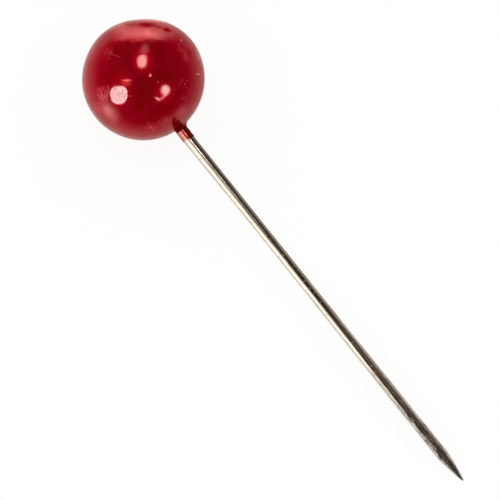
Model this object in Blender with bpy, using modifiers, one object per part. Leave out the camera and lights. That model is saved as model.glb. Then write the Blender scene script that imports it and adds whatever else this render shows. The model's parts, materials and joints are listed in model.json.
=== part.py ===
"""Pearl head pin: a pointed steel wire glued into a lacquered imitation pearl.

The pin is modelled on its own axis, with the centre of the head at the local origin, the crown of
the head at +Z and the point at -Z. An empty then lays it down on its head and its wire.
"""

import math

import bpy

MM = 0.001

# Head
HEAD_DIAMETER = 6.0 * MM
LACQUER_FILM = 0.06 * MM
PEARL_FILM = 0.10 * MM

# Wire
WIRE_DIAMETER = 0.58 * MM
WIRE_LENGTH = 26.0 * MM
WIRE_PAST_CENTRE = 0.9 * MM
WIRE_OFFSET = 0.10 * MM
END_CHAMFER = 0.06 * MM

# Notches that key the set end of the wire into the glue
NOTCH_COUNT = 3
NOTCH_PITCH = 0.60 * MM
NOTCH_WIDTH = 0.24 * MM
NOTCH_DEPTH = 0.04 * MM

# Ground point
POINT_LENGTH = 1.6 * MM
POINT_BULGE = 0.018 * MM
TIP_RADIUS = 0.045 * MM

# Lacquer drawn out along the wire
SLEEVE_LENGTH = 0.72 * MM
SLEEVE_FILM = 0.02 * MM
COLLAR_RADIUS = 0.20 * MM

# Bore and glue
GLUE_WALL = 0.10 * MM
GLUE_OVER_WIRE = 0.40 * MM
DRILL_ANGLE = math.radians(118.0)

# Clearances
COAT_GAP = 0.02 * MM
WIRE_GAP = 0.01 * MM

# Fineness of the turned shapes
HEAD_STEPS = 24
HEAD_RINGS = 16
WIRE_STEPS = 24
POINT_RINGS = 6
ROUND_RINGS = 4

# Radii of the layers of the head, from the outside in
head_radius = HEAD_DIAMETER / 2
hollow_radius = head_radius - LACQUER_FILM
pearl_radius = hollow_radius - COAT_GAP
pearl_inner_radius = pearl_radius - PEARL_FILM
core_radius = pearl_inner_radius - COAT_GAP

# Wire and bore, as heights along the pin
wire_radius = WIRE_DIAMETER / 2
wire_hole_radius = wire_radius + WIRE_GAP
wire_top = WIRE_PAST_CENTRE
wire_tip = wire_top - WIRE_LENGTH
bore_radius = wire_radius + WIRE_OFFSET + GLUE_WALL
bore_top = wire_top + GLUE_OVER_WIRE
bore_cone = bore_radius / math.tan(DRILL_ANGLE / 2)
sleeve_radius = wire_hole_radius + SLEEVE_FILM
sleeve_end = -head_radius - SLEEVE_LENGTH

# Far enough past a surface for a clean cut, and near enough for two points to be one
overrun = WIRE_DIAMETER
merge_distance = WIRE_GAP / 100


def clear_scene():
    for item in list(bpy.data.objects):
        bpy.data.objects.remove(item, do_unlink=True)
    for group in list(bpy.data.collections):
        bpy.data.collections.remove(group)


def new_collection(name):
    group = bpy.data.collections.new(name)
    bpy.context.scene.collection.children.link(group)
    return group


def new_material(name, colour, roughness, metallic):
    material = bpy.data.materials.new(name)
    material.use_nodes = True
    shader = material.node_tree.nodes["Principled BSDF"]
    shader.inputs["Base Color"].default_value = (*colour, 1.0)
    shader.inputs["Roughness"].default_value = roughness
    shader.inputs["Metallic"].default_value = metallic
    material.diffuse_color = (*colour, 1.0)
    return material


def turned(name, profile, steps, collection, parent, offset=0.0):
    """Turn a profile of (radius, height) points, outer side first and downwards, about local Z.

    The profile stands half a step round from +X, so that a flat of the ring faces along +X.
    The offset moves the turning axis along -Y, off the axis of the head.
    """
    start = math.pi / steps
    points = [(r * math.cos(start), r * math.sin(start), z) for r, z in profile]
    edges = [(i, i + 1) for i in range(len(points) - 1)]
    mesh = bpy.data.meshes.new(name)
    mesh.from_pydata(points, edges, [])
    piece = bpy.data.objects.new(name, mesh)
    piece.location = (0.0, -offset, 0.0)
    piece.parent = parent
    collection.objects.link(piece)
    screw = piece.modifiers.new("turn", "SCREW")
    screw.steps = steps
    screw.render_steps = steps
    screw.use_smooth_shade = True
    screw.use_merge_vertices = True
    screw.merge_threshold = merge_distance
    return piece


def boolean(piece, tool, operation):
    modifier = piece.modifiers.new(tool.name, "BOOLEAN")
    modifier.operation = operation
    modifier.solver = "EXACT"
    modifier.object = tool
    tool.hide_render = True
    tool.display_type = "WIRE"


def cut(piece, tool):
    boolean(piece, tool, "DIFFERENCE")


def join(piece, tool):
    boolean(piece, tool, "UNION")


def ball_rings(radius, mouth_radius=0.0):
    """Points down a ball's side, from its crown to its lower pole or to a mouth round that pole.

    All balls share the same ring angles, so that nested ones keep an even gap.
    """
    last_angle = math.pi - math.asin(mouth_radius / radius)
    angles = [math.pi * i / HEAD_RINGS for i in range(HEAD_RINGS)]
    points = [(radius * math.sin(a), radius * math.cos(a)) for a in angles if a < last_angle]
    points.append((mouth_radius, radius * math.cos(last_angle)))
    return points


def arc(centre_r, centre_z, radius, start, end):
    """Points on an arc in the profile plane, its angles measured from +R towards +Z."""
    angles = [start + (end - start) * i / ROUND_RINGS for i in range(ROUND_RINGS + 1)]
    return [(centre_r + radius * math.cos(a), centre_z + radius * math.sin(a)) for a in angles]


def wire_profile():
    """Chamfered set end, notches, plain shank, slightly full point and rounded tip."""
    points = [(0.0, wire_top)]
    points.append((wire_radius - END_CHAMFER, wire_top))
    points.append((wire_radius, wire_top - END_CHAMFER))
    for i in range(NOTCH_COUNT):
        middle = wire_top - NOTCH_PITCH * (i + 1)
        points.append((wire_radius, middle + NOTCH_WIDTH / 2))
        points.append((wire_radius - NOTCH_DEPTH, middle))
        points.append((wire_radius, middle - NOTCH_WIDTH / 2))
    cone_length = POINT_LENGTH - TIP_RADIUS
    for i in range(POINT_RINGS):
        t = i / POINT_RINGS
        taper = wire_radius + (TIP_RADIUS - wire_radius) * t
        points.append((taper + POINT_BULGE * 4 * t * (1 - t), wire_tip + POINT_LENGTH - cone_length * t))
    return points + arc(0.0, wire_tip + TIP_RADIUS, TIP_RADIUS, 0.0, -math.pi / 2)


def core_profile():
    """Ball with a blind bore from its lower pole and the cone that the drill leaves."""
    bore = [(bore_radius, bore_top), (0.0, bore_top + bore_cone)]
    return ball_rings(core_radius, bore_radius) + bore


def pearl_profile():
    """Even shell round the core, open where the bore comes out."""
    inside = ball_rings(pearl_inner_radius, bore_radius)
    return ball_rings(pearl_radius, bore_radius) + inside[::-1]


def glue_profile():
    """Filling of the bore, level with the outside of the pearl layer."""
    radius = bore_radius - COAT_GAP
    shoulder = bore_top - COAT_GAP
    mouth = -math.sqrt(pearl_radius ** 2 - bore_radius ** 2)
    return [(0.0, shoulder + bore_cone), (radius, shoulder), (radius, mouth), (0.0, mouth)]


def sleeve_profile():
    """Concave collar that leaves the ball and runs out into a thin sleeve on the wire."""
    collar_r = sleeve_radius + COLLAR_RADIUS
    reach = head_radius + COLLAR_RADIUS
    collar_z = -math.sqrt(reach ** 2 - collar_r ** 2)
    towards_head = math.atan2(-collar_z, -collar_r)
    collar = arc(collar_r, collar_z, COLLAR_RADIUS, towards_head, math.pi)
    inside = -hollow_radius + overrun
    root = [(0.0, inside), (collar[0][0], inside)]
    return root + collar + [(sleeve_radius, sleeve_end), (0.0, sleeve_end)]


def wire_hole_profile(top, bottom):
    """Round hole for the wire with its clearance."""
    return [(0.0, top), (wire_hole_radius, top), (wire_hole_radius, bottom), (0.0, bottom)]


def lying_frame(collection):
    """Empty that lays the pin on its head and its wire, centred over the origin.

    The wire dips from the head until the first ring of its profile meets the floor, which is the
    shoulder of the point as long as the point tapers faster than the wire dips.
    """
    rings = [(r, -z) for r, z in wire_profile() if z < -head_radius]
    dip = min(math.asin(head_radius / math.hypot(r, along)) - math.atan2(r, along) for r, along in rings)
    far_end = max(along * math.cos(dip) + r * math.sin(dip) for r, along in rings)
    frame = bpy.data.objects.new("pin_axis", None)
    frame.location = ((head_radius - far_end) / 2, 0.0, head_radius)
    frame.rotation_euler = (0.0, dip - math.pi / 2, 0.0)
    frame.empty_display_size = head_radius
    collection.objects.link(frame)
    return frame


def make_wire(parts, frame):
    steel = new_material("nickel_plated_steel", (0.62, 0.57, 0.51), 0.28, 1.0)
    wire = turned("pin_wire", wire_profile(), WIRE_STEPS, parts, frame, WIRE_OFFSET)
    wire.data.materials.append(steel)


def make_core(parts, frame):
    plastic = new_material("bead_plastic", (0.80, 0.76, 0.68), 0.45, 0.0)
    core = turned("bead_core", core_profile(), HEAD_STEPS, parts, frame)
    core.data.materials.append(plastic)


def make_pearl(parts, frame):
    essence = new_material("pearl_essence", (0.86, 0.80, 0.76), 0.25, 0.3)
    pearl = turned("pearl_layer", pearl_profile(), HEAD_STEPS, parts, frame)
    pearl.data.materials.append(essence)


def make_glue(parts, cutters, frame):
    adhesive = new_material("set_adhesive", (0.72, 0.60, 0.38), 0.35, 0.0)
    glue = turned("glue_plug", glue_profile(), WIRE_STEPS, parts, frame)
    glue.data.materials.append(adhesive)
    hole = wire_hole_profile(wire_top + WIRE_GAP, -head_radius - overrun)
    cut(glue, turned("glue_wire_hole", hole, WIRE_STEPS, cutters, frame, WIRE_OFFSET))


def make_lacquer(parts, cutters, frame):
    lacquer = new_material("red_lacquer", (0.19, 0.002, 0.006), 0.12, 0.0)
    coat = turned("lacquer_coat", ball_rings(head_radius), HEAD_STEPS, parts, frame)
    coat.data.materials.append(lacquer)
    join(coat, turned("lacquer_sleeve", sleeve_profile(), WIRE_STEPS, cutters, frame, WIRE_OFFSET))
    cut(coat, turned("lacquer_hollow", ball_rings(hollow_radius), HEAD_STEPS, cutters, frame))
    hole = wire_hole_profile(-hollow_radius + overrun, sleeve_end - overrun)
    cut(coat, turned("lacquer_wire_hole", hole, WIRE_STEPS, cutters, frame, WIRE_OFFSET))


def main():
    clear_scene()
    parts = new_collection("pearl_head_pin")
    cutters = new_collection("cutters")
    frame = lying_frame(parts)
    make_wire(parts, frame)
    make_glue(parts, cutters, frame)
    make_core(parts, frame)
    make_pearl(parts, frame)
    make_lacquer(parts, cutters, frame)


main()
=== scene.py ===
import json
import math

import bpy
import numpy as np
from mathutils import Matrix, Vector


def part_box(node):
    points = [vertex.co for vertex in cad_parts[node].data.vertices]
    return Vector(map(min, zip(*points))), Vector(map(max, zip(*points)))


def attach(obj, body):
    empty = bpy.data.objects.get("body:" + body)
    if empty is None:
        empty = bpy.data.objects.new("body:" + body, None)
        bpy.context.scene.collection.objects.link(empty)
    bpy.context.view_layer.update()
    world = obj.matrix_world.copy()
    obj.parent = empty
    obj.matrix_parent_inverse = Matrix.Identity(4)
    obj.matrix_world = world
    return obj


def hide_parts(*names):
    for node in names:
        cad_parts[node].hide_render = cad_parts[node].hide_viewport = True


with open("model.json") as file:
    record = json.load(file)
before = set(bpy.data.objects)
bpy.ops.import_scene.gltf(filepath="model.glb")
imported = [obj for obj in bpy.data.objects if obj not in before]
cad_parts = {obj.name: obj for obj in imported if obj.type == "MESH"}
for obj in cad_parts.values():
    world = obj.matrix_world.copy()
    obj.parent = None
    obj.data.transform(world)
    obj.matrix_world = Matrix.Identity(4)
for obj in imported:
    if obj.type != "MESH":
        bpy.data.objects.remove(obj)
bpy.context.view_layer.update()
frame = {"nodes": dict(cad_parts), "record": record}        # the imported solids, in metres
mm = 0.001
print("frame loaded:", ", ".join(sorted(frame["nodes"])))


def unit(ways, axis=-1):
    return ways / np.linalg.norm(ways, axis=axis, keepdims=True)


# the pin's own axes: along runs from the head to the point, lift is its upper side
grip = frame["record"]["mounts"][0]
along = unit(np.array(grip["axis"]))
side = np.array([0.0, 1.0, 0.0])
lift = np.cross(along, side)
dip = -math.asin(along[2])
onWire = np.array(grip["pos_m"])
wireRadius = grip["dims"]["r_mm"] * mm

# photograph: where it was taken from, and how large the pin is in it
photo = {
    "pixels": 500,
    "azimuth": 51.07,
    "elevation": 76.0,
    "distance": 0.35,
    "pixelsPerMm": 20.42,
    "headPixel": (143.06, 78.74),
}

head = {
    "diameter": 6.0 * mm,
    "sleeveFilm": 0.016 * mm,
    "holeGap": 0.0016 * mm,
    "collarRadius": 0.20 * mm,
    "sleeveLength": 0.70 * mm,
    "sleeveSlant": 0.062 * mm,
    "sleeveWave": 0.018 * mm,
    "sleeveTuck": 0.03 * mm,
    "film": 0.06 * mm,
    "coreGap": 0.01 * mm,
    # clock angle in the photograph, spread in degrees, height
    "lumps": [
        (264, 17, -0.056 * mm),
        (222, 18, 0.022 * mm),
        (318, 24, 0.042 * mm),
        (42, 30, -0.026 * mm),
        (156, 34, 0.020 * mm),
    ],
    # waves of the dipped skin, slow and then fine on the ball, and those of the sleeve
    "ballWaves": {"count": 28, "lengths": (2.4 * mm, 0.7 * mm), "height": 0.0016 * mm, "seed": 11},
    "fineWaves": {"count": 36, "lengths": (0.60 * mm, 0.28 * mm), "height": 0.00016 * mm, "seed": 3},
    "sleeveWaves": {"count": 24, "lengths": (0.45 * mm, 0.09 * mm), "height": 0.0014 * mm, "seed": 5},
    # painted reflection of the wire in the ball, a dark wedge from the sleeve up the ball, in the plane of
    # the photograph: from and to along the wire, half width, how far left of the wire it starts and ends,
    # and its soft edge
    "tearStretch": (3.12 * mm, 2.38 * mm),
    "tearWidth": 0.29 * mm,
    "tearLeft": (0.08 * mm, -0.05 * mm),
    "tearSoft": 0.09 * mm,
    # painted highlight lines of the sleeve, where the wire's highlights run: how far to the left, width and
    # level
    "thinLines": [(0.42, 0.18, 1.0), (-0.07, 0.12, 0.50)],
    "columns": 256,
    "crownRows": 150,
    "collarRows": 26,
    "sleeveRows": 26,
    "lipRows": 6,
    "holeRows": 8,
    "innerRows": 48,
}

shank = {
    "pastCentre": 0.9 * mm,
    "chamfer": 0.06 * mm,
    "notchCount": 3,
    "notchPitch": 0.60 * mm,
    "notchWidth": 0.24 * mm,
    "notchDepth": 0.04 * mm,
    "pointLength": 1.6 * mm,
    "pointBulge": 0.018 * mm,
    "tipRadius": 0.045 * mm,
    # flats of the ground point: how many, how deep, turned by, and how fast they come and go
    "flats": 7,
    "flatDepth": 0.16,
    "flatTurn": 0.35,
    "flatEase": (2.2, 6.0),
    "rubbedFrom": 15.0 * mm,
    "columns": 112,
    "setRows": 60,
    "bodyRows": 160,
    "pointRows": 90,
    "tipRows": 14,
}

headRadius = head["diameter"] / 2
headPixel = np.array(photo["headPixel"])
perMm = photo["pixelsPerMm"]
headPixels = perMm * headRadius / mm  # the head's radius in the photograph
headCentre = onWire + along * (headRadius - onWire[2]) / along[2]
wireShift = headCentre[1]  # the wire runs off the head's centre
headCentre[1] = 0.0
wireStart = headCentre + wireShift * side  # on the wire's axis, beside the head's centre

# camera axes in the row frame
azimuth = math.radians(photo["azimuth"])
elevation = math.radians(photo["elevation"])
imageRight = np.array([math.cos(azimuth), math.sin(azimuth), 0.0])
toCamera = np.array([
    math.sin(azimuth) * math.cos(elevation),
    -math.cos(azimuth) * math.cos(elevation),
    math.sin(elevation),
])
imageUp = np.cross(toCamera, imageRight)
leftOfWire = unit(np.cross(along, toCamera))
leftOfWire = leftOfWire * -np.sign(leftOfWire @ imageRight)


def smooth(t):
    # 3t^2 - 2t^3 between 0 and 1
    t = np.clip(t, 0.0, 1.0)
    return t * t * (3 - 2 * t)


def roundTurn(columns):
    return np.linspace(0, 2 * np.pi, columns, endpoint=False)


def onHead(pixel):
    # unit normal of the head where it shows at a pixel of the photograph
    x, y = (pixel - headPixel) / headPixels
    z = math.sqrt(max(0.0, 1 - x * x - y * y))
    return x * imageRight - y * imageUp + z * toCamera


def standing(across, upward, back, spot):
    rows = np.eye(4)
    rows[:3] = np.stack([across, upward, back, spot], axis=-1)
    return Matrix(rows.tolist())


def newObject(name, data):
    item = bpy.data.objects.new(name, data)
    bpy.context.scene.collection.objects.link(item)
    return item


def skin(name, rings, poles=None):
    # rings (rows, columns, 3) become quads, closed round each ring, and at the ends by a fan to each
    # pole, or without poles by joining the last ring to the first
    rows, columns, _ = rings.shape
    points = rings.reshape(-1, 3)
    index = np.arange(rows * columns).reshape(rows, columns)
    if poles is None:
        index = np.concatenate([index, index[:1]])
    after = np.roll(index, -1, axis=1)
    faces = np.stack([index[:-1], index[1:], after[1:], after[:-1]], axis=-1).reshape(-1, 4).tolist()
    if poles is not None:
        points = np.concatenate([points, poles])
        start = np.full(columns, rows * columns)
        faces += np.stack([start, index[0], after[0]], axis=-1).tolist()
        faces += np.stack([start + 1, after[-1], index[-1]], axis=-1).tolist()
    mesh = bpy.data.meshes.new(name)
    mesh.from_pydata(points.tolist(), [], faces)
    mesh.shade_smooth()
    mesh.validate()
    print(name + ":", len(mesh.polygons), "faces")
    return newObject(name, mesh)


def outFromWire(angles):
    # cos angle * lift + sin angle * side
    return np.cos(angles)[..., None] * lift + np.sin(angles)[..., None] * side


def ringsAlong(radii, places, angles, shifts):
    # place + radius * way out from the wire, the axis shifted sideways row by row
    out = outFromWire(angles)
    return headCentre + places[..., None] * along + radii[..., None] * out + shifts[..., None] * side


def giveValues(piece, name, values, atPoles=()):
    layer = piece.data.attributes.new(name, "FLOAT", "POINT")
    layer.data.foreach_set("value", np.concatenate([values, atPoles]).astype(np.float32))


# head: lacquered ball and collar in one skin, with its thin inner wall
def waveSum(points, values):
    # sum of cosines along seeded directions, each as high as it is long
    draw = np.random.default_rng(values["seed"])
    ways = unit(draw.normal(size=(3, values["count"])), axis=0)
    lengths = np.geomspace(*values["lengths"], values["count"])
    phases = draw.uniform(0, 2 * np.pi, values["count"])
    waves = np.cos(points @ (ways * 2 * np.pi / lengths) + phases)
    return waves @ (values["height"] * lengths / lengths.max())


def headRelief(normals):
    relief = waveSum(normals * headRadius, head["ballWaves"])
    relief = relief + waveSum(normals * headRadius, head["fineWaves"])
    # each lump is height * exp(-(angle / spread)^2) about its direction in the photograph
    for clock, spread, height in head["lumps"]:
        turn = math.radians(clock)
        middle = math.cos(turn) * imageRight - math.sin(turn) * imageUp
        angle = np.degrees(np.arccos(np.clip(normals @ middle, -1, 1)))
        relief += height * np.exp(-(angle / spread) ** 2)
    return relief


def collarArc():
    # the collar's arc touches the ball and the sleeve from outside: its middle, and where it leaves the ball
    out = wireRadius + head["sleeveFilm"] + head["collarRadius"]
    place = math.sqrt((headRadius + head["collarRadius"]) ** 2 - out ** 2)
    return out, place, math.atan2(out, place)


def makeHead():
    collar = head["collarRadius"]
    collarOut, collarAlong, leave = collarArc()
    holeRadius = wireRadius + head["holeGap"]
    hollowRadius = headRadius - head["film"] - head["coreGap"]
    ballRows, holeRows, innerRows = head["crownRows"], head["holeRows"], head["innerRows"]
    # outer ball: radius sin t, place -cos t
    t = np.linspace(0, np.pi - leave, ballRows + 1)[1:]
    ball = headRadius * np.array([np.sin(t), -np.cos(t)])
    # collar: from the ball's tangent round to the sleeve
    t = np.linspace(0, 1, head["collarRows"] + 1)[1:]
    turnBack = leave + (math.pi / 2 - leave) * t
    neck = np.array([collarOut - collar * np.sin(turnBack), collarAlong - collar * np.cos(turnBack)])
    collarShare = smooth(t)
    # hole back up to the hollow of the ball, then the inner wall to the crown
    mouth = math.asin(holeRadius / hollowRadius)
    t = np.linspace(collarAlong, hollowRadius * math.cos(mouth), holeRows)
    hole = np.array([np.full(t.shape, holeRadius), t])
    t = np.linspace(np.pi - mouth, 0, innerRows + 2)[1:-1]
    inner = hollowRadius * np.array([np.sin(t), -np.cos(t)])
    radius, place = np.concatenate([ball, neck, hole, inner], axis=1)

    # how far each row has left the ball's own axis for the wire's
    onSleeve = np.concatenate([
        np.zeros(ballRows), collarShare, np.ones(holeRows), np.linspace(1, 0, innerRows) ** 8,
    ])
    turn = roundTurn(head["columns"])
    rings = ringsAlong(radius[:, None], place[:, None], turn, onSleeve[:, None] * wireShift)
    # the ball's lumps push its outer rows in and out, and die away in the collar
    outward = unit(rings - headCentre)
    share = np.concatenate([np.ones(ballRows), 1 - collarShare, np.zeros(holeRows + innerRows)])
    rings = rings + (headRelief(outward) * share[:, None])[..., None] * outward
    crown = headCentre - along * (headRadius + headRelief(-along[None, :])[0])
    piece = skin("headSkin", rings, [crown, headCentre - along * hollowRadius])
    # painted reflection of the wire: its half width falls off as 1 - x^4 up the ball, on the side that is
    # seen
    downWire = unit(along - (along @ toCamera) * toCamera)
    start, end = head["tearStretch"]
    x = np.clip((start - (rings - headCentre) @ downWire) / (start - end), 0, 1)
    width = head["tearWidth"] * (1 - x ** 4)
    first, last = head["tearLeft"]
    offMiddle = np.abs((rings - wireStart) @ leftOfWire - first - (last - first) * x)
    tear = smooth((width - offMiddle) / head["tearSoft"]) * (outward @ toCamera > 0)
    # the far end of the collar gets the same painted dark reflection
    tear = np.maximum(tear, smooth(onSleeve * 2.5 - 1.5)[:, None])
    giveValues(piece, "tear", tear.ravel(), [0, 0])
    return piece


# sleeve: ring of thin lacquer on the wire, tucked under the collar, with an uneven far edge
def makeSleeve():
    turn = roundTurn(head["columns"])
    outer = wireRadius + head["sleeveFilm"]
    lip = head["sleeveFilm"] - head["holeGap"]
    start = collarArc()[1] - head["sleeveTuck"]
    end = headRadius + head["sleeveLength"]
    sleeveRows, lipRows, holeRows = head["sleeveRows"], head["lipRows"], head["holeRows"]
    # outside along the wire, quarter round down to it, and back along it
    t = np.linspace(0, np.pi / 2, lipRows + 1)[1:]
    radius = np.concatenate([
        np.full(sleeveRows, outer), outer - lip * (1 - np.cos(t)), np.full(holeRows, outer - lip),
    ])
    place = np.concatenate([
        np.linspace(start, end, sleeveRows), end + lip * np.sin(t),
        np.linspace(end + lip, start, holeRows + 1)[1:],
    ])
    # the edge slants and waves, more and more along the sleeve
    edge = head["sleeveSlant"] * np.sin(turn)
    edge = edge + head["sleeveWave"] * (np.sin(3 * turn + 1.1) + 0.6 * np.sin(7 * turn + 2.3))
    places = place[:, None] + np.clip((place - start) / (end - start), 0, 1)[:, None] ** 2 * edge
    rings = ringsAlong(radius[:, None], places, turn, np.array(wireShift))
    # fine waves square to the wire, on the outside only
    fine = np.concatenate([
        smooth(np.linspace(0, 3, sleeveRows)), np.linspace(1, 0, lipRows), np.zeros(holeRows),
    ])
    out = outFromWire(turn)
    rings = rings + (waveSum(rings, head["sleeveWaves"]) * fine[:, None])[..., None] * out
    piece = skin("sleeveSkin", rings)
    # painted highlight along two lines, as exp(-((turn to the left - middle) / width)^2)
    toLeft = out @ leftOfWire
    thin = 0.0
    for middle, width, level in head["thinLines"]:
        thin = thin + level * np.exp(-((toLeft - middle) / width) ** 2)
    giveValues(piece, "thin", np.tile(thin, len(place)))
    giveValues(piece, "toLeft", np.tile(toLeft, len(place)))
    return piece


# shank: notched set end, drawn wire and ground point
def shankRadius(places, tip):
    # plain wire less its notches and chamfer, then a straight taper with a slight bulge, then a round tip
    radius = np.full(places.shape, wireRadius)
    setEnd = -shank["pastCentre"]
    for i in range(shank["notchCount"]):
        middle = setEnd + shank["notchPitch"] * (i + 1)
        off = np.abs(places - middle) / (shank["notchWidth"] / 2)
        radius -= shank["notchDepth"] * np.clip(1 - off, 0, 1)
    radius -= np.clip(shank["chamfer"] - (places - setEnd), 0, shank["chamfer"])
    tipRadius = shank["tipRadius"]
    cone = shank["pointLength"] - tipRadius
    t = np.clip((places - (tip - shank["pointLength"])) / cone, 0, 1)
    taper = wireRadius + (tipRadius - wireRadius) * t + shank["pointBulge"] * 4 * t * (1 - t)
    radius = np.where(t > 0, taper, radius)
    past = np.clip((places - (tip - tipRadius)) / tipRadius, 0, 1)
    return np.where(past > 0, tipRadius * np.sqrt(1 - past ** 2), radius)


def makeShank():
    columns = shank["columns"]
    tip = (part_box("pin_wire")[1][0] - headCentre[0]) / along[0]
    setEnd = -shank["pastCentre"]
    shoulder = tip - shank["pointLength"]
    roundStart = tip - shank["tipRadius"]
    t = np.linspace(0, np.pi / 2, shank["tipRows"] + 1)[1:-1]
    places = np.concatenate([
        np.linspace(setEnd, headRadius, shank["setRows"]),
        np.linspace(headRadius, shoulder, shank["bodyRows"])[1:],
        np.linspace(shoulder, roundStart, shank["pointRows"])[1:],
        roundStart + shank["tipRadius"] * np.sin(t),
    ])
    turn = roundTurn(columns)
    # grinding leaves long flats on the point: cos(half) / cos(angle from a flat's middle), eased in
    half = math.pi / shank["flats"]
    fromFlat = (turn + shank["flatTurn"]) % (2 * half) - half
    flat = math.cos(half) / np.cos(fromFlat)
    t = (places - shoulder) / shank["pointLength"]
    come, go = shank["flatEase"]
    ease = shank["flatDepth"] * smooth(t * come) * smooth((1 - t) * go)
    radii = shankRadius(places, tip)[:, None] * (1 + ease[:, None] * (flat - 1))
    rings = ringsAlong(radii, places[:, None], turn, np.array(wireShift))
    piece = skin("shank", rings, [wireStart + along * setEnd, wireStart + along * tip])
    rubbed = smooth((places - shank["rubbedFrom"]) / (shoulder - shank["rubbedFrom"]))
    giveValues(piece, "ground", np.repeat(smooth(t * 3), columns), [0, 1])
    giveValues(piece, "rubbed", np.repeat(rubbed, columns), [0, 1])
    return piece


headSkin = makeHead()
sleeveSkin = makeSleeve()
shankSkin = makeShank()


# node helpers: a Level is a number that nodes work out, so sums and products of it are nodes too
class Level:
    def __init__(self, socket):
        self.socket = socket

    def __add__(self, other):
        return calc("ADD", self, other)

    def __sub__(self, other):
        return calc("SUBTRACT", self, other)

    def __rsub__(self, other):
        return calc("SUBTRACT", other, self)

    def __mul__(self, other):
        return calc("MULTIPLY", self, other)

    __radd__ = __add__
    __rmul__ = __mul__


def outputOf(source):
    # the socket of a Level, the first one of a node, and anything else as it is
    if isinstance(source, Level):
        return source.socket
    return source.outputs[0] if hasattr(source, "outputs") else source


def treeOf(*sources):
    # the node tree of the first source that is not a plain number
    outputs = [outputOf(source) for source in sources]
    return next(output.id_data for output in outputs if hasattr(output, "id_data"))


def feed(item, socket, source):
    # an output is linked, a number or colour is set
    source = outputOf(source)
    if hasattr(source, "is_output"):
        treeOf(source).links.new(source, item.inputs[socket])
    else:
        item.inputs[socket].default_value = source


def put(tree, kind, *sources, **settings):
    # new node with its settings, and its first inputs in their order
    item = tree.nodes.new("ShaderNode" + kind)
    for key, value in settings.items():
        setattr(item, key, value)
    for i, source in enumerate(sources):
        feed(item, i, source)
    return item


def calc(operation, *sources, clamp=False):
    item = put(treeOf(*sources), "Math", *sources, operation=operation, use_clamp=clamp)
    return Level(item.outputs[0])


def vector(operation, *sources):
    item = put(treeOf(*sources), "VectorMath", *sources, operation=operation)
    if operation in ("DOT_PRODUCT", "DISTANCE", "LENGTH"):
        return Level(item.outputs["Value"])
    return item.outputs[0]


def ramp(value, low, high, toLow=0.0, toHigh=1.0):
    # smooth step between low and high
    sources = (value, low, high, toLow, toHigh)
    item = put(treeOf(value), "MapRange", *sources, interpolation_type="SMOOTHSTEP")
    return Level(item.outputs[0])


def fall(value, low, high):
    return ramp(value, low, high, 1.0, 0.0)


def between(share, a, b):
    return ramp(share, 0.0, 1.0, a, b)


def blend(share, a, b):
    item = put(treeOf(share), "Mix", share, data_type="RGBA")
    feed(item, 6, a)
    feed(item, 7, b)
    return item.outputs[2]


def layered(colour, values, **shares):
    # colours of a dictionary laid over a first one in turn, each by its share
    for name, share in shares.items():
        colour = blend(share, colour, values[name])
    return colour


def noise(where, scale, detail=2.0, rough=0.5):
    item = put(treeOf(where), "TexNoise")
    for label, source in (("Vector", where), ("Scale", scale), ("Detail", detail), ("Roughness", rough)):
        feed(item, label, source)
    return Level(item.outputs["Fac"])


def painted(tree, name):
    # value that the mesh carries at its points
    return Level(put(tree, "Attribute", attribute_name=name).outputs["Fac"])


def inPinAxes(direction):
    return np.array([direction @ along, direction @ side, direction @ lift])


def pinSpace(tree):
    # object coordinates turned onto the pin's axes, in millimetres from the head's centre
    where = put(tree, "TexCoord").outputs["Object"]
    start = -inPinAxes(headCentre) / mm
    return put(tree, "Mapping", where, start, (0, -dip, 0), [1 / mm] * 3).outputs[0]


def newMaterial(name):
    material = bpy.data.materials.new(name)
    material.use_nodes = True
    tree = material.node_tree
    return material, tree, tree.nodes["Principled BSDF"]


# effects that lacquer, wire and the inner pieces share
def newGroup(name, output, **values):
    group = bpy.data.node_groups.new(name, "ShaderNodeTree")
    group.interface.new_socket("Vector", in_out="INPUT", socket_type="NodeSocketVector")
    for label, value in values.items():
        socket = group.interface.new_socket(label, in_out="INPUT", socket_type="NodeSocketFloat")
        socket.default_value = value
    group.interface.new_socket(output, in_out="OUTPUT", socket_type="NodeSocketFloat")
    start = group.nodes.new("NodeGroupInput")
    end = group.nodes.new("NodeGroupOutput")
    return group, end, *[Level(socket) for socket in start.outputs if socket.name]


def makeSpecks():
    # round spots about the feature points of cells, in a share of the cells
    group, end, where, scale, size, share = newGroup("specks", "Mask", Scale=2.0, Size=0.1, Share=0.5)
    cells = put(group, "TexVoronoi")
    feed(cells, "Vector", where)
    feed(cells, "Scale", scale)
    spot = fall(cells.outputs["Distance"], size * 0.5, size)
    pick = put(group, "SeparateColor", cells.outputs["Color"])
    feed(end, 0, spot * calc("LESS_THAN", pick, share))
    return group


def makeHairlines():
    # thin lines where a noise crosses its middle, in patches of a slower noise
    group, end, where, scale, width, bare = newGroup("hairlines", "Mask", Scale=4.0, Width=0.02, Patches=0.5)
    line = fall(calc("ABSOLUTE", noise(where, scale, 2.0, 0.6) - 0.5), 0.0, width)
    slow = noise(where, scale * 0.31, 1.0)
    feed(end, 0, line * ramp(slow, bare, bare + 0.12))
    return group


def makeClouds():
    # soft uneven tone between 0 and 1
    group, end, where, scale, contrast = newGroup("clouds", "Value", Scale=1.0, Contrast=0.2)
    feed(end, 0, ramp(noise(where, scale, 3.0, 0.55), 0.5 - contrast, 0.5 + contrast))
    return group


specks = makeSpecks()
hairlines = makeHairlines()
clouds = makeClouds()


def lay(group, where, **values):
    item = put(treeOf(where), "Group", where, node_tree=group)
    for label, value in values.items():
        feed(item, label, value)
    return Level(item.outputs[0])


def drawnOut(where, way, squeeze):
    # coordinates on three square ways, squeezed along the first so that patterns run along it
    first = inPinAxes(way)
    second = unit(np.cross(first, [0.3, 0.5, 0.8]))
    axes = (first * squeeze, second, np.cross(first, second))
    return put(treeOf(where), "CombineXYZ", *[vector("DOT_PRODUCT", where, axis) for axis in axes])


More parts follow.
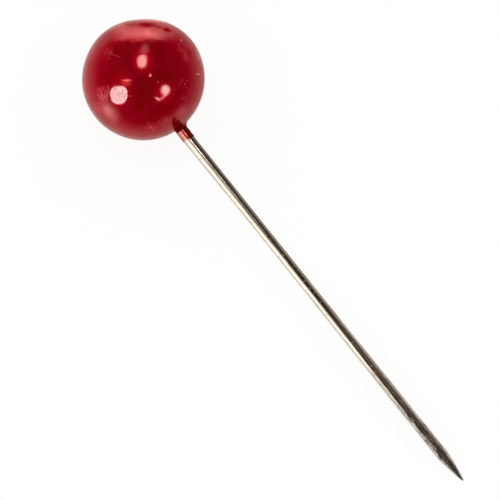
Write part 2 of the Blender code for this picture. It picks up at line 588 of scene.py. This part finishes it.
def onBall(pixel):
    # the head's surface point at a pixel, in the pin's axes and millimetres
    return inPinAxes(onHead(pixel)) * headRadius / mm


def spotRound(where, point, radius, soft):
    # 1 near a point, falling to 0 over the soft share of a radius in pixels
    size = radius / perMm
    return fall(vector("DISTANCE", where, point), size * (1 - soft), size)


def spotAt(where, pixel, radius, soft):
    return spotRound(where, onBall(pixel), radius, soft)


def scratchAt(where, first, last, radius):
    # 1 on the chord between the head's points at two pixels, falling to 0 at the radius
    start = onBall(first)
    run = onBall(last) - start
    gap = vector("SUBTRACT", where, start)
    share = calc("ADD", vector("DOT_PRODUCT", gap, run / (run @ run)), 0.0, clamp=True)
    away = vector("LENGTH", vector("MULTIPLY_ADD", share, -run, gap))
    size = radius / perMm
    return fall(away, size * 0.3, size)


def strongest(masks):
    total = masks[0]
    for mask in masks[1:]:
        total = calc("MAXIMUM", total, mask)
    return total


# lacquer of the head, and the thin film of it on the wire
lacquer = {
    "red": (0.345, 0.0001, 0.0100, 1),
    "deepRed": (0.268, 0.0001, 0.0012, 1),
    # painted sheen: a lighter red in a ring, by how far the surface turns from the view
    "lustre": (0.362, 0.0003, 0.0110, 1),
    # painted light: lighter red of a lit patch on the head's left side
    "lightRed": (0.42, 0.0002, 0.0070, 1),
    # dark red of the painted reflection of the wire in the ball
    "tearRed": (0.135, 0.0006, 0.0012, 1),
    "scuffed": (0.62, 0.090, 0.110, 1),
    "crackled": (0.60, 0.09, 0.08, 1),
    # dust colour, also of the one painted highlight among the flecks
    "dust": (0.68, 0.100, 0.110, 1),
    "paleDust": (1.0, 0.44, 0.41, 1),
    "edgeTint": (1.0, 0.10, 0.14, 1),
    "metal": 0.15,
    # metal of the painted reflection of the wire
    "tearMetal": 0.05,
    "roughness": 0.16,
    "dullRoughness": 0.24,
    "coatRoughness": 0.02,
    "coatIor": 1.55,
    # how much gloss each kind of mark and the painted reflection of the wire take away, and how steeply the
    # painted ring of sheen comes and goes
    "scuffDulls": 0.5,
    "crackleDulls": 0.44,
    "smearDulls": 0.20,
    "tearDulls": 0.93,
    "lustreFrom": (0.17, 0.40),
    "lustreTo": (0.44, 0.70),
    # how far the rubbed streaks and the crackle lean to the right
    "rubLean": 0.15,
    "crackleLean": 0.45,
    # flecks of dust, and at (176.2, 120.2) a painted highlight on the wire's painted reflection: pixel and
    # radius in pixels
    "flecks": [
        ((181.2, 82.0), 0.8), ((184.9, 84.8), 0.9), ((179.6, 84.9), 0.7), ((182.0, 98.8), 0.9),
        ((182.8, 96.4), 0.7), ((151.4, 127.4), 0.9), ((116.4, 130.5), 0.8), ((130.6, 96.9), 1.0),
        ((158.2, 82.9), 1.1), ((147.8, 122.6), 0.5), ((193.4, 62.0), 0.6), ((176.2, 120.2), 1.3),
        ((183.6, 80.4), 0.7), ((186.6, 88.2), 0.6), ((184.0, 100.2), 0.6), ((185.4, 97.4), 0.7),
        ((158.6, 121.6), 0.9), ((161.0, 125.0), 0.6), ((146.6, 128.4), 0.7), ((187.4, 81.6), 0.6),
        ((99.4, 104.0), 0.9),
    ],
    "paleFlecks": [((180.7, 40.8), 1.1), ((196.4, 74.3), 0.8), ((197.6, 74.4), 1.0), ((198.8, 74.5), 0.9)],
    # scratches: from and to which pixel, half width in pixels and strength
    "scratches": [
        ((104.8, 54.2), (108.4, 49.2), 0.8, 0.30), ((109.2, 52.2), (113.0, 55.4), 0.8, 0.40),
        ((113.0, 55.4), (120.0, 57.8), 0.6, 0.28), ((107.6, 59.6), (111.6, 59.0), 0.7, 0.22),
        ((100.8, 96.4), (103.6, 87.4), 0.8, 0.48), ((103.8, 88.0), (106.4, 97.6), 0.9, 0.60),
        ((105.8, 101.0), (107.6, 94.0), 0.8, 0.55), ((108.6, 86.6), (109.6, 94.4), 1.0, 0.85),
        ((98.4, 100.0), (99.6, 110.0), 0.6, 0.30), ((107.4, 100.4), (109.4, 103.8), 0.7, 0.35),
        ((178.6, 44.0), (179.6, 50.6), 0.6, 0.30), ((182.0, 43.0), (182.6, 57.0), 0.6, 0.25),
        ((184.6, 55.6), (188.0, 60.0), 0.7, 0.25), ((146.8, 128.6), (150.4, 128.0), 0.6, 0.40),
        ((151.2, 126.8), (152.6, 129.8), 0.7, 0.45),
    ],
    # scuffed places: pixel, radius in pixels and strength
    "worn": [
        ((103.5, 95.5), 12.0, 1.0), ((109.0, 53.0), 9.0, 0.22), ((184.0, 55.0), 12.0, 0.20),
        ((152.0, 127.0), 10.0, 0.25), ((118.0, 128.0), 9.0, 0.15), ((172.0, 36.0), 9.0, 0.25),
        ((98.0, 108.0), 9.0, 0.35),
    ],
    # crackled place, and a painted patch of light on the head's left side
    "crackle": ((118.6, 94.4), 10.5),
    "lightPlace": ((121.0, 79.0), 17.0),
}
film = {
    "red": (0.34, 0.008, 0.006, 1),
    # painted highlight: pale salmon along the lines where the wire's highlights run
    "thinRed": (0.86, 0.33, 0.260, 1),
    # painted reflection: brighter red of a line between the painted highlight lines
    "clearRed": (0.60, 0.010, 0.008, 1),
    # painted shade: darker red of the right side
    "darkRed": (0.18, 0.030, 0.026, 1),
    # painted reflection along the left rim, browner and darker than the highlight beside it
    "brownEdge": (0.40, 0.170, 0.135, 1),
    # near-white colour of the specks along the painted highlight lines
    "bare": (1.0, 0.88, 0.82, 1),
    "edgeTint": (1.0, 0.30, 0.25, 1),
    "metal": 0.82,
    # less metal along the painted red reflection line
    "clearMetal": 0.25,
    "roughness": 0.09,
    "dullRoughness": 0.18,
    "coat": 0.35,
    "wornCoat": 0.2,
    "coatRoughness": 0.06,
    "coatIor": 1.55,
    # how far to the left the painted shade of the right side ends, the painted red reflection line starts
    # and ends, and the painted rim reflection starts
    "darkTo": (-0.80, -0.55),
    "clearFrom": (0.02, 0.10),
    "clearTo": (0.22, 0.34),
    "brownFrom": (0.60, 0.75),
}


def setCoat(shader, values):
    feed(shader, "Specular IOR Level", 0.0)
    feed(shader, "Specular Tint", values["edgeTint"])
    feed(shader, "Coat Roughness", values["coatRoughness"])
    feed(shader, "Coat IOR", values["coatIor"])


def makeLacquer():
    material, tree, shader = newMaterial("redLacquer")
    where = pinSpace(tree)
    # painted reflection of the wire in the ball, carried by the mesh
    tear = painted(tree, "tear")
    cloud = lay(clouds, where, Scale=0.9, Contrast=0.18)
    upright = drawnOut(where, imageUp, squeeze=0.22)
    smear = lay(clouds, upright, Scale=2.6, Contrast=0.16)
    # scuffs: fine lines and rubbed streaks in the worn places, and the single scratches
    worn = strongest([spotAt(where, *spot, soft=0.9) * level for *spot, level in lacquer["worn"]])
    leaning = drawnOut(where, imageUp + imageRight * lacquer["rubLean"], squeeze=0.16)
    rubbed = lay(clouds, leaning, Scale=6.0, Contrast=0.12)
    lines = lay(hairlines, upright, Scale=4.6, Width=0.12, Patches=0.36)
    scuff = strongest([lines, rubbed * 0.45]) * (worn + 0.02)
    scratches = [scratchAt(where, *ends) * level for *ends, level in lacquer["scratches"]]
    scuff = strongest([scuff] + scratches)
    leaning = drawnOut(where, imageUp + imageRight * lacquer["crackleLean"], squeeze=0.36)
    crackle = lay(hairlines, leaning, Scale=6.2, Width=0.085, Patches=0.32)
    crackle = crackle * spotAt(where, *lacquer["crackle"], soft=0.4)
    dust = lay(specks, where, Scale=2.1, Size=0.04, Share=0.3)
    flecks = [spotAt(where, *fleck, soft=0.7) for fleck in lacquer["flecks"]]
    pale = strongest([spotAt(where, *fleck, soft=0.7) for fleck in lacquer["paleFlecks"]])
    # dust specks and flecks, with the one painted highlight among them
    dust = strongest(flecks + [dust, pale])

    # painted sheen: lighter in a ring between facing the view and the edge
    facing = put(tree, "LayerWeight").outputs["Facing"]
    lustre = ramp(facing, *lacquer["lustreFrom"]) * fall(facing, *lacquer["lustreTo"])
    # painted patch of light on the head's left side
    light = spotAt(where, *lacquer["lightPlace"], soft=1.0)
    colour = blend(cloud, lacquer["red"], lacquer["deepRed"])
    colour = layered(
        colour, lacquer, lustre=lustre, lightRed=light, tearRed=tear,
        scuffed=scuff, crackled=crackle, dust=dust, paleDust=pale,
    )
    feed(shader, "Base Color", colour)
    # the painted reflection of the wire has little metal, and takes away most of the coat below
    metal = between(tear, lacquer["metal"], lacquer["tearMetal"])
    covered = strongest([dust, scuff, crackle * 0.3])
    feed(shader, "Metallic", calc("SUBTRACT", metal, covered, clamp=True))
    feed(shader, "Roughness", between(cloud, lacquer["roughness"], lacquer["dullRoughness"]))
    hidden = scuff * lacquer["scuffDulls"] + crackle * lacquer["crackleDulls"]
    hidden = hidden + smear * lacquer["smearDulls"] + tear * lacquer["tearDulls"] + dust
    feed(shader, "Coat Weight", calc("SUBTRACT", 1.0, hidden, clamp=True))
    setCoat(shader, lacquer)
    return material


def makeThinLacquer():
    material, tree, shader = newMaterial("thinLacquer")
    where = pinSpace(tree)
    # painted highlight lines and the turn to the left, carried by the mesh
    thin = painted(tree, "thin")
    toLeft = painted(tree, "toLeft")
    worn = lay(clouds, drawnOut(where, along, squeeze=0.4), Scale=9.0, Contrast=0.15)
    # specks, near white, only along the painted highlight lines
    dust = lay(specks, where, Scale=8.0, Size=0.32, Share=0.45) * thin * 0.9
    # painted highlight lines, broken up by the worn cloud
    thinnest = thin * between(worn, 0.7, 1.0)
    # painted red reflection line between the painted highlight lines
    clear = ramp(toLeft, *film["clearFrom"]) * fall(toLeft, *film["clearTo"])
    # painted shade on the right side
    colour = blend(ramp(toLeft, *film["darkTo"]), film["darkRed"], film["red"])
    # painted rim reflection along the left side
    brown = ramp(toLeft, *film["brownFrom"])
    colour = layered(colour, film, clearRed=clear, brownEdge=brown, thinRed=thinnest, bare=dust)
    feed(shader, "Base Color", colour)
    # less metal along the painted red reflection line
    feed(shader, "Metallic", between(clear, film["metal"], film["clearMetal"]))
    feed(shader, "Roughness", between(worn, film["roughness"], film["dullRoughness"]))
    feed(shader, "Coat Weight", between(worn, film["coat"], film["wornCoat"]))
    setCoat(shader, film)
    return material


# nickel of the wire
nickel = {
    "bright": (0.70, 0.645, 0.575, 1),
    "dull": (0.55, 0.480, 0.400, 1),
    "pit": (0.42, 0.36, 0.29, 1),
    "scored": (0.16, 0.13, 0.11, 1),
    "nicked": (0.95, 0.90, 0.80, 1),
    "streakShare": 0.8,
    "tarnishShare": 0.35,
    "roughness": 0.06,
    "dullRoughness": 0.12,
    "groundRoughness": 0.30,
    "pitRoughness": 0.3,
    "nickRoughness": 0.75,
    # relief: pits and grinding beside the streaks, and the drawn lines from the head to the point
    "bumpStrength": 0.5,
    "bumpHeight": 0.003 * mm,
    "pitHeight": 2.5,
    "grindingDepth": 1.8,
    "lineDepth": (0.5, 2.6),
    # bright nicks: pixel and radius in pixels
    "nicks": [
        ((202.9, 156.1), 0.8), ((213.0, 168.4), 0.7), ((221.1, 177.0), 1.0), ((225.4, 183.9), 0.8),
        ((247.4, 210.4), 1.0), ((248.8, 212.8), 0.7), ((266.7, 235.3), 0.9), ((283.3, 255.4), 1.0),
        ((304.2, 281.6), 0.9), ((310.0, 288.6), 0.8), ((314.4, 292.9), 0.9), ((320.8, 302.5), 0.8),
        ((352.0, 343.0), 0.8), ((371.5, 366.5), 0.9), ((393.0, 393.0), 0.8),
    ],
}


def onShank(pixel):
    # point of the wire seen at a pixel, in the pin's axes: where the camera's ray passes nearest its axis,
    # raised from there onto the surface
    right, down = (pixel - headPixel) * mm / perMm
    ray = unit(imageRight * right - imageUp * down - toCamera * photo["distance"])
    start = toCamera * photo["distance"] - wireShift * side
    square = np.cross(ray, along)
    far = np.cross(along, start) @ square / (square @ square)
    place = start @ along + far * (ray @ along)
    off = start + far * ray - place * along
    raised = math.sqrt(max(0.0, wireRadius ** 2 - off @ off))
    upward = unit(np.cross(along, np.cross(-ray, along)))
    return inPinAxes(place * along + off + upward * raised + wireShift * side) / mm


def makeNickel():
    material, tree, shader = newMaterial("nickelPlate")
    where = pinSpace(tree)
    ground = painted(tree, "ground")
    rubbed = painted(tree, "rubbed")
    drawn = drawnOut(where, along, squeeze=0.05)
    streak = lay(clouds, drawn, Scale=9.0, Contrast=0.22)
    lines = lay(hairlines, drawn, Scale=7.0, Width=0.05, Patches=0.42)
    tarnish = lay(clouds, where, Scale=1.3, Contrast=0.2)
    pits = lay(specks, where, Scale=5.2, Size=0.16, Share=0.6)
    short = drawnOut(where, along, squeeze=0.12)
    grinding = lay(hairlines, short, Scale=13.0, Width=0.12, Patches=0.40) * ground
    short = drawnOut(where, along, squeeze=0.14)
    scores = lay(hairlines, short, Scale=10.0, Width=0.10, Patches=0.36) * rubbed
    nicks = strongest([
        spotRound(where, onShank(pixel), radius, soft=0.6) for pixel, radius in nickel["nicks"]
    ])
    colour = blend(streak * nickel["streakShare"], nickel["bright"], nickel["dull"])
    tarnish = tarnish * nickel["tarnishShare"]
    colour = layered(colour, nickel, dull=tarnish, pit=pits, scored=scores, nicked=nicks)
    feed(shader, "Base Color", colour)
    feed(shader, "Metallic", 1.0)
    rough = between(streak, nickel["roughness"], nickel["dullRoughness"])
    rough = strongest([rough, ground * nickel["groundRoughness"]])
    rough = calc("ADD", rough, pits * nickel["pitRoughness"], clamp=True)
    feed(shader, "Roughness", strongest([rough, nicks * nickel["nickRoughness"]]))
    sunk = lines * between(rubbed, *nickel["lineDepth"]) + grinding * nickel["grindingDepth"]
    bump = put(tree, "Bump")
    feed(bump, "Strength", nickel["bumpStrength"])
    feed(bump, "Distance", nickel["bumpHeight"])
    feed(bump, "Height", streak + pits * nickel["pitHeight"] - sunk)
    feed(shader, "Normal", bump)
    return material


def makePlain(name, colour, other, roughness, scale):
    material, tree, shader = newMaterial(name)
    cloud = lay(clouds, pinSpace(tree), Scale=scale, Contrast=0.25)
    feed(shader, "Base Color", blend(cloud, colour, other))
    feed(shader, "Roughness", between(cloud, roughness, roughness + 0.12))
    return material


headSkin.data.materials.append(makeLacquer())
sleeveSkin.data.materials.append(makeThinLacquer())
shankSkin.data.materials.append(makeNickel())
innerFinishes = {
    "pearl_layer": makePlain("pearlEssence", (0.86, 0.80, 0.76, 1), (0.78, 0.70, 0.68, 1), 0.22, 3.0),
    "bead_core": makePlain("beadPlastic", (0.80, 0.76, 0.68, 1), (0.72, 0.67, 0.58, 1), 0.42, 2.0),
    "glue_plug": makePlain("setAdhesive", (0.72, 0.60, 0.38, 1), (0.62, 0.48, 0.27, 1), 0.32, 4.0),
}
for nodeName, finish in innerFinishes.items():
    solid = frame["nodes"][nodeName]
    solid.data.materials.clear()
    solid.data.materials.append(finish)
print("materials made")

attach(headSkin, "root")
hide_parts("lacquer_coat")
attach(sleeveSkin, "root")
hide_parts("lacquer_coat")
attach(shankSkin, "root")
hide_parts("pin_wire")
# the wire's reflection in the ball is painted into its lacquer instead
for piece in (sleeveSkin, shankSkin):
    piece.visible_glossy = False  # the ball mirrors only the room


# what reflections see, laid out by the pixels of the photograph where the head mirrors it
room = {
    "overhead": 0.003,
    "tints": {"pale": (1.0, 0.95, 0.90), "pink": (1.31, 0.60, 0.57), "red": (1.0, 0.02, 0.06)},
    # haze of the lit floor: from and to these shares of the head's radius, wider below, more on its left
    "haze": 0.60,
    "hazeReach": (0.715, 1.0),
    "hazeTilt": 0.02,
    "hazeLean": 0.18,
    # wide band of light low behind the head, with an uneven lower edge
    "bandEdge": (37.6, 42.6),
    "bandLeft": (108.0, 131.0),
    "bandRight": (148.0, 176.0),
    "bandTop": (21.0, 31.0),
    "bandStrength": 1.8,
    "bandWobble": 6.0,
    "wobbleScale": 0.16,
    "wobbleStretch": 0.5,
    # soft lights: tint, pixel, spread across and down, turn in degrees, strength
    "glows": [
        ("pink", (145.0, 34.0), (15.0, 3.6), 0, 2.1), ("pink", (156.0, 36.5), (5.0, 2.6), 25, 1.1),
        ("pink", (126.0, 36.0), (7.0, 2.2), -14, 1.0), ("pink", (148.0, 41.5), (9.0, 2.8), 0, 0.2),
        ("pink", (148.0, 20.0), (15.0, 2.4), 0, 0.7), ("pink", (108.6, 109.6), (4.8, 9.0), -35, 1.2),
        ("pale", (145.0, 33.0), (13.0, 3.0), 0, 0.55), ("red", (140.0, 40.0), (20.0, 2.2), 0, 1.9),
        ("pale", (108.6, 109.6), (4.8, 9.0), -35, 2.4), ("pale", (181.0, 112.0), (4.0, 6.5), 42, 0.7),
        ("pale", (166.0, 121.0), (5.5, 4.0), -35, 0.38), ("pale", (197.3, 55.0), (1.8, 6.5), -24, 0.3),
    ],
    # dark places, in the same way without a tint, with crisper edges
    "darks": [
        ((145.4, 24.7), (9.6, 3.0), 2, 1.0), ((157.0, 26.6), (4.6, 1.3), 12, 0.75),
        ((164.8, 29.3), (4.2, 1.9), 22, 1.0), ((130.0, 24.6), (7.0, 0.9), -4, 0.5),
        ((186.8, 52.5), (3.0, 4.8), -25, 0.85),
    ],
    "darkCrisp": 2.0,
}


def headMiddle(direction):
    # the head mirrors a direction where its normal lies half way between it and the camera
    return vector("NORMALIZE", vector("ADD", direction, toCamera))


def fromHead(point, normal=None):
    # direction to a point from the head's centre, or from its surface at a normal
    gap = vector("SUBTRACT", point, headCentre)
    if normal is not None:
        gap = vector("MULTIPLY_ADD", normal, [-headRadius] * 3, gap)
    return vector("NORMALIZE", gap)


def floorNormal(point):
    # normal at which the head mirrors a point of the floor, found in a few steps
    normal = headMiddle(fromHead(point))
    for step in range(3):
        normal = headMiddle(fromHead(point, normal))
    return normal


def turnedAxes(degrees):
    c, s = math.cos(math.radians(degrees)), math.sin(math.radians(degrees))
    return np.array([[c, s], [-s, c]])


def softSpot(x, y, pixel, spread, turn, crisp=1.0):
    # exp(-(u^2 + v^2)^crisp), with u and v the turned offset in pixels over the spread
    dx = x - pixel[0]
    dy = y - pixel[1]
    total = 0.0
    for (a, b), width in zip(turnedAxes(turn), spread):
        off = dx * (a / width) + dy * (b / width)
        total = off * off + total
    if crisp != 1.0:
        total = calc("POWER", total, crisp)
    return calc("POWER", math.e, total * -1.0)


def roomGlow(normal):
    # overhead + haze that grows towards the head's edge, and band + soft lights, each with its tint,
    # all times the dark places
    right, down = [vector("DOT_PRODUCT", normal, way) for way in (imageRight, -imageUp)]
    reach = calc("SQRT", right * right + down * down) + down * room["hazeTilt"]
    haze = ramp(reach, *room["hazeReach"], 0.0, room["haze"])
    haze = haze * (1.0 - right * room["hazeLean"]) + room["overhead"]
    x = right * headPixels + headPixel[0]
    y = down * headPixels + headPixel[1]
    spot = put(treeOf(normal), "CombineXYZ", x * room["wobbleStretch"], y)
    uneven = noise(spot, room["wobbleScale"], 3.0, 0.6) - 0.5
    wavyY = y + uneven * room["bandWobble"]
    band = fall(wavyY, *room["bandEdge"]) * ramp(x, *room["bandLeft"])
    band = band * fall(x, *room["bandRight"]) * ramp(wavyY, *room["bandTop"])
    levels = {"pale": haze, "pink": band * room["bandStrength"], "red": 0.0}
    for tint, *spot, strength in room["glows"]:
        levels[tint] = softSpot(x, wavyY, *spot) * strength + levels[tint]
    lit = 1.0
    for *spot, strength in room["darks"]:
        lit = lit * (1.0 - softSpot(x, y, *spot, room["darkCrisp"]) * strength)
    colour = (0, 0, 0)
    for tint, level in levels.items():
        colour = vector("MULTIPLY_ADD", room["tints"][tint], level * lit, colour)
    return colour


def byRay(soft, mirror, seen):
    # one shader for soft light, one for reflections and one for the camera
    tree = treeOf(soft)
    path = put(tree, "LightPath").outputs
    shiny = calc("MAXIMUM", path["Is Glossy Ray"], path["Is Transmission Ray"])
    lit = put(tree, "MixShader", shiny, soft, mirror)
    return put(tree, "MixShader", path["Is Camera Ray"], lit, seen)


# floor: pale, white to the camera, with the pin's soft shadow
floor = {
    "radius": 0.6,
    "sides": 96,
    # what the camera sees is the glow and, where no shadow falls, the lit share up to white
    "glow": 0.88,
    "litShare": (0.175, 0.175, 0.173, 1),
    # soft light thrown back up at the pin, from the lower right to the upper left, and how far each
    # way it grows, in radii of the head
    "bounce": (1.47, 3.27),
    "bounceReach": 5,
}
# world: white behind the floor, the room in reflections, even soft fill for the rest
fill = {"level": 0.68, "lean": 0.12}
plainWhite = (1, 1, 1, 1)
lightWay = 0.77 * imageUp - 0.64 * imageRight  # soft light leans to the photograph's upper left


def makeFloor():
    turn = roundTurn(floor["sides"])
    ring = np.stack([np.cos(turn), np.sin(turn), 0 * turn], axis=-1) * floor["radius"]
    mesh = bpy.data.meshes.new("floor")
    mesh.from_pydata(ring.tolist(), [], [list(range(floor["sides"]))])
    piece = newObject("floor", mesh)
    material, tree, shader = newMaterial("paleFloor")
    tree.nodes.remove(shader)
    where = put(tree, "TexCoord").outputs["Object"]
    diffuse = put(tree, "BsdfDiffuse", floor["litShare"])
    white = put(tree, "Emission", plainWhite, floor["glow"])
    seen = put(tree, "AddShader", diffuse, white)
    lit = put(tree, "Emission", roomGlow(floorNormal(where)))
    middle = float(headCentre @ lightWay)
    reach = floor["bounceReach"] * headRadius
    lean = vector("DOT_PRODUCT", where, lightWay)
    level = ramp(lean, middle - reach, middle + reach, *floor["bounce"])
    bounce = put(tree, "Emission", plainWhite, level)
    feed(tree.nodes["Material Output"], "Surface", byRay(bounce, lit, seen))
    mesh.materials.append(material)


def makeWorld():
    world = bpy.data.worlds.new("softRoom")
    bpy.context.scene.world = world
    world.use_nodes = True
    world.cycles.sampling_method = "NONE"
    tree = world.node_tree
    tree.nodes.clear()
    direction = put(tree, "TexCoord").outputs["Generated"]
    shown = put(tree, "Background", roomGlow(headMiddle(direction)))
    lean = vector("DOT_PRODUCT", direction, lightWay)
    even = put(tree, "Background", plainWhite, lean * fill["lean"] + fill["level"])
    white = put(tree, "Background", plainWhite)
    put(tree, "OutputWorld", byRay(even, shown, white))


# lamps: each stands where the head mirrors it at a pixel of the photograph, and its face is as wide
# and high as the spot that it makes there, turned in the photograph, with round or squarer corners
lamps = [
    # name, pixel, spread, turn in degrees, corners, soft rim, distance in mm, radiance, tint
    ("keyLamp", (118.8, 94.6), (15.0, 17.0), 0, 2.3, 0.08, 75, 12.5, (1, 0.98, 0.95)),
    ("topLamp", (143.1, 61.7), (8.7, 11.2), 0, 2.6, 0.38, 90, 8.0, (1, 0.94, 0.86)),
    ("topHalo", (143.0, 61.0), (15.5, 18.5), 0, 2.0, 0.85, 92, 2.7, (1, 0.01, 0.05)),
    ("smudge", (144.6, 50.2), (7.2, 7.8), 8, 2.0, 0.85, 93, 1.25, (1, 0.88, 0.90)),
    ("rightLamp", (164.6, 90.1), (7.1, 8.6), -20, 2.0, 0.60, 90, 10.5, (1, 0.97, 0.93)),
    ("rightHalo", (164.0, 91.0), (14.5, 16.0), 0, 2.0, 0.75, 92, 1.5, (1, 0.01, 0.06)),
    ("hook", (162.0, 97.2), (10.0, 2.6), -32, 2.0, 0.6, 91, 5.0, (1, 0.55, 0.60)),
    ("hookEnd", (156.8, 98.0), (4.8, 2.3), 22, 2.0, 0.6, 91, 12.5, (1, 0.54, 0.57)),
    ("smallLamp", (151.0, 75.3), (1.4, 2.8), 8, 2.0, 0.5, 100, 13.0, (1, 0.48, 0.50)),
    ("smallHalo", (151.0, 75.3), (3.0, 4.4), 0, 2.0, 0.7, 101, 1.2, (1, 0.05, 0.06)),
    ("streak", (126.0, 80.2), (8.6, 1.3), 2, 2.0, 0.6, 95, 10.0, (1, 0.34, 0.27)),
    ("streakGlow", (126.0, 83.0), (8.0, 6.0), 0, 2.0, 0.9, 97, 3.2, (1, 0.20, 0.16)),
]

# cards that only the wire mirrors: how far they swing from the view to its left, and the stretch
# of the wire that shows them, from the head's centre
cream = (1.0, 0.98, 0.92)
brown = (1.0, 0.56, 0.30)
mauve = (0.98, 0.965, 0.965)
pearl = (0.95, 1.0, 0.99)
tan = (1.0, 0.75, 0.60)
shankCards = [
    # name, swing, stretch, fading ends, turn, distance, radiance, tint, in millimetres and degrees
    ("longCard", (14, 84), (-6, 22.7), (0, 4), 10, 60, 1.15, cream),
    ("brightCard", (34, 76), (-6, 22.9), (0, 4.5), 0, 58, 0.5, cream),
    ("farCard", (52, 92), (3, 24), (4, 5), 0, 62, 0.45, cream),
    ("thinLine", (-17, -6), (-3, 5.5), (0, 2), 0, 70, 3.6, cream),
    ("thinTail", (-18, -5), (2, 12), (0, 6), 0, 71, 0.75, cream),
    ("farLine", (-26, -10), (15, 27), (5, 1), 0, 72, 0.16, tan),
    ("rightHaze", (-98, -54), (1, 60), (17, 0), 0, 64, 0.36, mauve),
    ("rightLow", (-98, -76), (-6, 60), (0, 0), 0, 63, 0.30, mauve),
    ("roomTop", (-54, 16), (-40, 60), (0, 0), 0, 66, 0.042, brown),
    ("nearTop", (-60, -18), (-20, 9), (0, 6), 0, 67, 0.05, tan),
    ("farTop", (-54, 16), (15, 60), (5, 0), 0, 65, 0.09, tan),
    ("tipCard", (14, 64), (22, 70), (4, 0), 0, 61, 0.12, mauve),
]
floorCards = [
    # name, sideways from and to, stretch, fading ends, radiance, tint
    ("leftFloor", (-9, -0.4), (1, 33), (7, 8), 1.0, pearl),
    ("rightFloor", (0.4, 7), (-8, 40), (22, 0), 1.0, mauve),
]
floorCardLift = 0.002 * mm


def mirrored(pixel):
    # direction in which the head reflects the view at a pixel
    normal = onHead(pixel)
    return 2 * (normal @ toCamera) * normal - toCamera


def imageWays(pixel):
    # unit steps in the photograph round the head's middle and away from it
    radial = unit(pixel - headPixel)
    return np.array([[-radial[1], radial[0]], radial])


def newLight(name, size, radiance, tint):
    # even rectangle, and the place on its own face, -1 to 1 both ways
    light = bpy.data.lights.new(name, "AREA")
    light.shape = "RECTANGLE"
    light.size, light.size_y = size
    light.energy = radiance * math.pi * size[0] * size[1]
    light.color = tint
    light.use_nodes = True
    face = put(light.node_tree, "NewGeometry").outputs["Parametric"]
    return light, vector("MULTIPLY_ADD", face, (2, 2, 0), (-1, -1, 0))


def hang(light, level, lit, *axesAndSpot):
    # seen in reflections only, and only on the pieces of one collection
    feed(light.node_tree.nodes["Emission"], "Strength", level)
    lamp = newObject(light.name, light)
    lamp.matrix_world = standing(*axesAndSpot)
    lamp.visible_camera = False
    lamp.visible_diffuse = False
    lamp.light_linking.receiver_collection = lit


def makeLamp(name, pixel, spread, turn, corners, soft, distance, radiance, tint):
    far = distance * mm
    direction = mirrored(pixel)
    ways = imageWays(pixel)
    halves = np.array(spread) / 2
    onWays = turnedAxes(turn) @ ways.T
    # the face holds the whole spot: its sides come from the angle between the reflections of the ends
    reach = halves * (1 + soft) @ np.abs(onWays)
    size = []
    for way, out in zip(ways, reach):
        ends = [mirrored(pixel + way * out * sign) for sign in (-1, 1)]
        size.append(2 * far * math.tan(math.acos(min(1.0, ends[0] @ ends[1])) / 2))
    light, face = newLight(name, size, radiance, tint)
    # the spot is where |across|^n + |down|^n < 1, in its half widths, with a soft rim
    total = 0.0
    for axis, half in zip(onWays, halves):
        off = vector("DOT_PRODUCT", face, (*(axis * reach / half), 0.0))
        total = calc("POWER", calc("ABSOLUTE", off), corners) + total
    level = fall(calc("POWER", total, 1 / corners), 1 - soft, 1 + soft)
    outward = direction - toCamera * (direction @ toCamera)
    sideways = unit(np.cross(outward, direction))
    upward = np.cross(direction, sideways)
    hang(light, level, headLit, sideways, upward, direction, headCentre + direction * far)


def makeCard(name, size, ends, radiance, tint, *axesAndSpot):
    light, face = newLight(name, size, radiance, tint)
    x = Level(put(light.node_tree, "SeparateXYZ", face).outputs["X"])
    level = 1.0
    for sign, fade in zip((1, -1), ends):
        if fade:
            level = ramp(x * sign + 1.0, 0.0, 2 * fade * mm / size[0]) * level
    hang(light, level, shankLit, *axesAndSpot)


def makeShankCard(name, swing, stretch, ends, turn, distance, radiance, tint):
    # a ray from the camera leaves the wire with its share along the wire turned round
    far = distance * mm
    onAxis = toCamera @ along
    across = unit(toCamera - onAxis * along)
    low, high = np.radians(swing)
    direction = math.cos((low + high) / 2) * across + math.sin((low + high) / 2) * leftOfWire
    first, last = np.array(stretch) * mm - onAxis * far
    size = (last - first, 2 * far * math.tan((high - low) / 2))
    spot = wireStart + along * (first + last) / 2 + direction * far
    (c, s), _ = turnedAxes(turn)
    lengthways = c * along + s * np.cross(direction, along)
    makeCard(name, size, ends, radiance, tint, lengthways, np.cross(direction, lengthways), direction, spot)


def makeFloorCard(name, sideways, stretch, ends, radiance, tint):
    first, last = np.array(stretch) * mm
    near, far = np.array(sideways) * mm
    spot = (headCentre[0] + (first + last) / 2, wireShift + (near + far) / 2, floorCardLift)
    makeCard(name, (last - first, far - near), ends, radiance, tint, (1, 0, 0), (0, -1, 0), (0, 0, -1), spot)


def litPieces(name, *pieces):
    lit = bpy.data.collections.new(name)
    for piece in pieces:
        lit.objects.link(piece)
    return lit


headLit = litPieces("headLit", headSkin)
shankLit = litPieces("shankLit", shankSkin, sleeveSkin)
makeFloor()
makeWorld()
for values in lamps:
    makeLamp(*values)
for values in shankCards:
    makeShankCard(*values)
for values in floorCards:
    makeFloorCard(*values)
print("stage set:", len(lamps), "lamps and", len(shankCards) + len(floorCards), "cards")


def makeCamera():
    view = bpy.data.cameras.new("photoCamera")
    camera = newObject("photoCamera", view)
    middle = (photo["pixels"] - 1) / 2  # pixels are counted at their centres
    right, down = (middle - headPixel) * mm / perMm
    spot = headCentre + imageRight * right - imageUp * down + toCamera * photo["distance"]
    camera.matrix_world = standing(imageRight, imageUp, toCamera, spot)
    view.lens = view.sensor_width * photo["distance"] * perMm / (photo["pixels"] * mm)
    view.clip_start = 0.01
    bpy.context.scene.camera = camera


makeCamera()
bpy.context.scene.view_settings.view_transform = "Standard"
